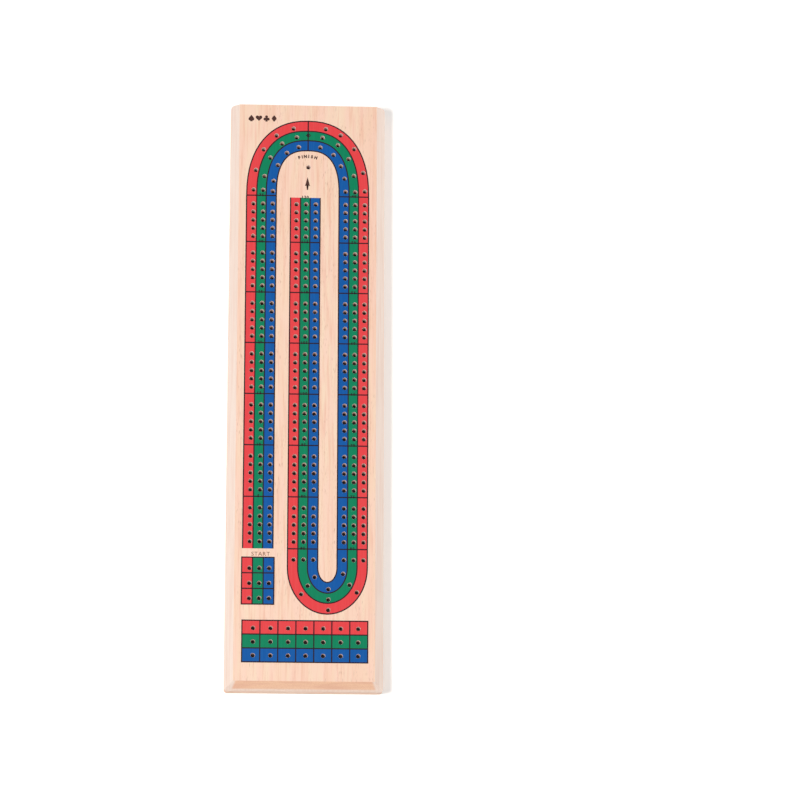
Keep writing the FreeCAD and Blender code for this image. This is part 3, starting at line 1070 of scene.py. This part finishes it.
# ---- peg holes ----
@dataclass
class PegHoles:
    """The deck's blind peg holes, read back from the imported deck.  Sizes in millimetres."""

    bore_radius: float = 1.4
    depth: float = 6.0
    facets: int = 20
    margin: float = 0.06
    reach: float = 1.0

    def centres(self) -> list[Point]:
        """Middle of every peg hole, from the flat floors that the holes end in.

        Returns:
            X and Y of each, in metres.
        """
        floor = DECK_TOP - self.depth * MM
        mesh = bmesh.new()
        mesh.from_mesh(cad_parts["deck"].data)
        bmesh.ops.remove_doubles(mesh, verts=mesh.verts, dist=0.001 * MM)
        level = [f for f in mesh.faces if all(abs(v.co.z - floor) < 0.01 * MM for v in f.verts)]
        waiting, found = set(level), []
        while waiting:
            stack, island = [waiting.pop()], set()
            while stack:
                face = stack.pop()
                island.update(face.verts)
                near = {f for v in face.verts for f in v.link_faces if f in waiting}
                waiting -= near
                stack += near
            xs, ys = [v.co.x for v in island], [v.co.y for v in island]
            found.append(((min(xs) + max(xs)) / 2, (min(ys) + max(ys)) / 2))
        mesh.free()
        return sorted(found)

    def cutter(self) -> Object:
        """All the bores as one mesh that stands through the print.

        Returns:
            The mesh object.
        """
        nothing_selected()
        centres = self.centres()
        radius = (self.bore_radius + self.margin) * MM
        bpy.ops.mesh.primitive_cylinder_add(vertices=self.facets, radius=radius, depth=2 * self.reach * MM)
        first = bpy.context.object
        bores = []
        for x, y in centres:
            bore = first.copy()
            bore.data = first.data.copy()
            bore.data.transform(Matrix.Translation((x, y, DECK_TOP)))
            bpy.context.collection.objects.link(bore)
            bores.append(bore)
        bpy.data.objects.remove(first)
        pick(*bores)
        bpy.ops.object.join()
        log.info("peg holes: %d", len(centres))
        return bpy.context.object


# ---- the box's own pieces ----
def dress(material: Material, *nodes: str) -> None:
    """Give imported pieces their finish.

    Args:
        material: the finish.
        nodes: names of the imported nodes.
    """
    for name in nodes:
        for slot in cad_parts[name].material_slots:
            slot.material = material
        log.info("%s: %s", name, material.name)


def dress_boards(grain: Grain, step: float, *nodes: str) -> None:
    """Give each board rubberwood of its own, whose pattern lies a step in millimetres from the last."""
    for number, name in enumerate(nodes, 1):
        dress(Rubberwood(name + "_rubberwood", grain, step * number).make(), name)


@dataclass
class Carcass:
    """Deck, frame rails, base panel, catch magnet and base screws."""

    screws: int = 8
    base_thickness: float = 2.6

    def dress_pieces(self) -> None:
        """Give each piece of the fixed box its finish."""
        dress(DrilledDeck("deck_rubberwood").make(), "deck")
        dress_boards(Grain.ALONG, 37.0, "left_rail", "right_rail")
        dress_boards(Grain.ACROSS, 53.0, "near_rail", "middle_rail", "bay_rail", "stop_strip")
        dress(BirchPly("base_birch_ply", self.base_thickness * MM, 0.0).make(), "base_panel")
        dress(SmallMetal("nickel_plate", "C9C7C2", "9A968E", 0.24).make(), "catch_magnet")
        screws = ["base_screw_%d" % (n + 1) for n in range(self.screws)]
        dress(SmallMetal("brass_plated_steel", "D9B36A", "A57C3C", 0.3).make(), *screws)


@dataclass
class Drawer:
    """Peg drawer: front, sides, back, dividers, thin bottom and the steel disc of the catch."""

    bottom_thickness: float = 1.6
    bottom_level: float = 2.7

    def dress_pieces(self) -> None:
        """Give each piece of the drawer its finish."""
        dress_boards(Grain.ACROSS, 91.0, "drawer_front", "drawer_back")
        dress_boards(Grain.ALONG, 71.0, "drawer_left_side", "drawer_right_side", "drawer_divider_left",
                     "drawer_divider_right")
        ply = BirchPly("drawer_birch_ply", self.bottom_thickness * MM, self.bottom_level * MM, 140.0)
        dress(ply.make(), "drawer_bottom")
        dress(SmallMetal("bare_steel", "B4B4B2", "85827D", 0.34).make(), "strike_disc")


class PegColour(Enum):
    """Peg colours, as the plastic's light and deeper tone."""

    RED = ("D22B2E", "B01D22")
    GREEN = ("138A4C", "0C6E3B")
    BLUE = ("1B56A8", "134287")


@dataclass
class Pegs:
    """Three scoring pegs of each colour, lying in the drawer."""

    each: int = 3

    def dress_pieces(self) -> None:
        """Give the pegs their plastic."""
        for colour in PegColour:
            name = colour.name.lower()
            finish = MouldedStyrene(name + "_styrene", *colour.value)
            dress(finish.make(), *["peg_%s_%d" % (name, n + 1) for n in range(self.each)])


# ---- studio ----
@dataclass(frozen=True)
class SoftLamp:
    """A square soft lamp: place and side in metres, power in watts."""

    name: str
    spot: tuple
    size: float
    watts: float

    def hang(self) -> None:
        """Hang the lamp, facing the board and out of the picture."""
        nothing_selected()
        bpy.ops.object.light_add(type="AREA", location=self.spot)
        lamp = bpy.context.object
        lamp.name = self.name
        lamp.data.shape, lamp.data.size, lamp.data.energy = "SQUARE", self.size, self.watts
        lamp.rotation_euler = (-Vector(self.spot)).to_track_quat("-Z", "Y").to_euler()
        lamp.visible_camera = False


@dataclass
class Studio:
    """Plain white table, soft lamps and the camera."""

    aim: tuple = (60.85, -4.19, 19.05)
    tilt: float = 12.25
    swing: float = 3.45
    roll: float = 0.09
    distance: float = 2171.0
    lens: float = 150.66
    sensor: float = 36.0
    clip: tuple = (0.05, 50.0)
    floor_size: float = 8.0
    floor_glow: float = 0.32
    sky: float = 0.29
    lamps: tuple = (
        SoftLamp("key_lamp", (-0.82, -0.32, 1.86), 0.35, 24.2),
        SoftLamp("right_lamp", (1.60, 0.90, 0.80), 1.0, 13.5),
        SoftLamp("left_lamp", (-1.74, -0.40, 0.90), 1.0, 2.4),
        SoftLamp("near_lamp", (0.10, -1.60, 0.60), 1.0, 2.2),
    )

    def camera(self) -> None:
        """Look down at the board from a little near and left of upright."""
        tilt, swing, roll = map(math.radians, (self.tilt, self.swing, self.roll))
        back = Vector((-math.sin(swing), -math.sin(tilt) * math.cos(swing),
                       math.cos(tilt) * math.cos(swing)))
        right = Vector((0, 1, 0)).cross(back).normalized()
        up = back.cross(right)
        right, up = (math.cos(roll) * right + math.sin(roll) * up,
                     math.cos(roll) * up - math.sin(roll) * right)
        aim = Vector(self.aim) * MM
        nothing_selected()
        bpy.ops.object.camera_add()
        camera = bpy.context.object
        camera.name = "camera"
        turned = Matrix((right, up, back)).transposed().to_4x4()
        camera.matrix_world = Matrix.Translation(aim + back * self.distance * MM) @ turned
        camera.data.lens, camera.data.sensor_width = self.lens, self.sensor
        camera.data.clip_start, camera.data.clip_end = self.clip
        bpy.context.scene.camera = camera

    def floor(self) -> None:
        """Pale floor that keeps the shadow and shows white to the camera."""
        nothing_selected()
        bpy.ops.mesh.primitive_plane_add(size=self.floor_size)
        floor = bpy.context.object
        floor.name = "studio_floor"
        material, tree, shader = new_material("white_paper")
        wire(tree, shader, {"Base Color": linear("F2F1EF"), "Roughness": 0.9, "Specular IOR Level": 0.1})
        glow = add(tree, "Emission", {"Color": (1, 1, 1, 1), "Strength": self.seen(tree, self.floor_glow)})
        both = add(tree, "AddShader", (shader.outputs[0], glow))
        wire(tree, tree.nodes["Material Output"], {"Surface": both})
        floor.data.materials.append(material)

    @staticmethod
    def seen(tree: NodeTree, strength: float, otherwise: float = 0.0) -> NodeSocket:
        """A strength that holds for camera, glossy and transmission rays only.

        Args:
            tree: the node tree.
            strength: value for those rays.
            otherwise: value for all others.

        Returns:
            The strength's output.
        """
        rays = add(tree, "LightPath", out="Is Camera Ray")
        for kind in ("Is Glossy Ray", "Is Transmission Ray"):
            rays = add(tree, "Math", (rays, add(tree, "LightPath", out=kind)), operation="ADD")
        return add(tree, "MapRange", (rays, 0.0, 1.0, otherwise, strength))

    def world(self) -> None:
        """Even sky that lights softly and shows white behind the floor."""
        world = bpy.data.worlds.new("studio")
        bpy.context.scene.world = world
        world.use_nodes = True
        tree = world.node_tree
        light = {"Color": (1, 1, 1, 1), "Strength": self.seen(tree, 1.0, self.sky)}
        wire(tree, tree.nodes["Background"], light)

    def build(self) -> None:
        """Set up floor, sky, lamps and camera."""
        self.floor()
        self.world()
        for lamp in self.lamps:
            lamp.hang()
        self.camera()
        bpy.context.scene.view_settings.view_transform = "Standard"


def main() -> None:
    """Build and dress the whole box, piece by piece."""
    inks = {ink: ScreenInk(ink.name.lower() + "_screen_ink", *tones).make()
            for ink, tones in INK_TONES.items()}
    Carcass().dress_pieces()
    Drawer().dress_pieces()
    Pegs().dress_pieces()
    cutter = PegHoles().cutter()
    Printing(inks).build(cutter)
    bpy.data.objects.remove(cutter)
    Studio().build()


if __name__ == "__main__":
    logging.basicConfig(level=logging.INFO, format="%(name)s: %(message)s")
    main()
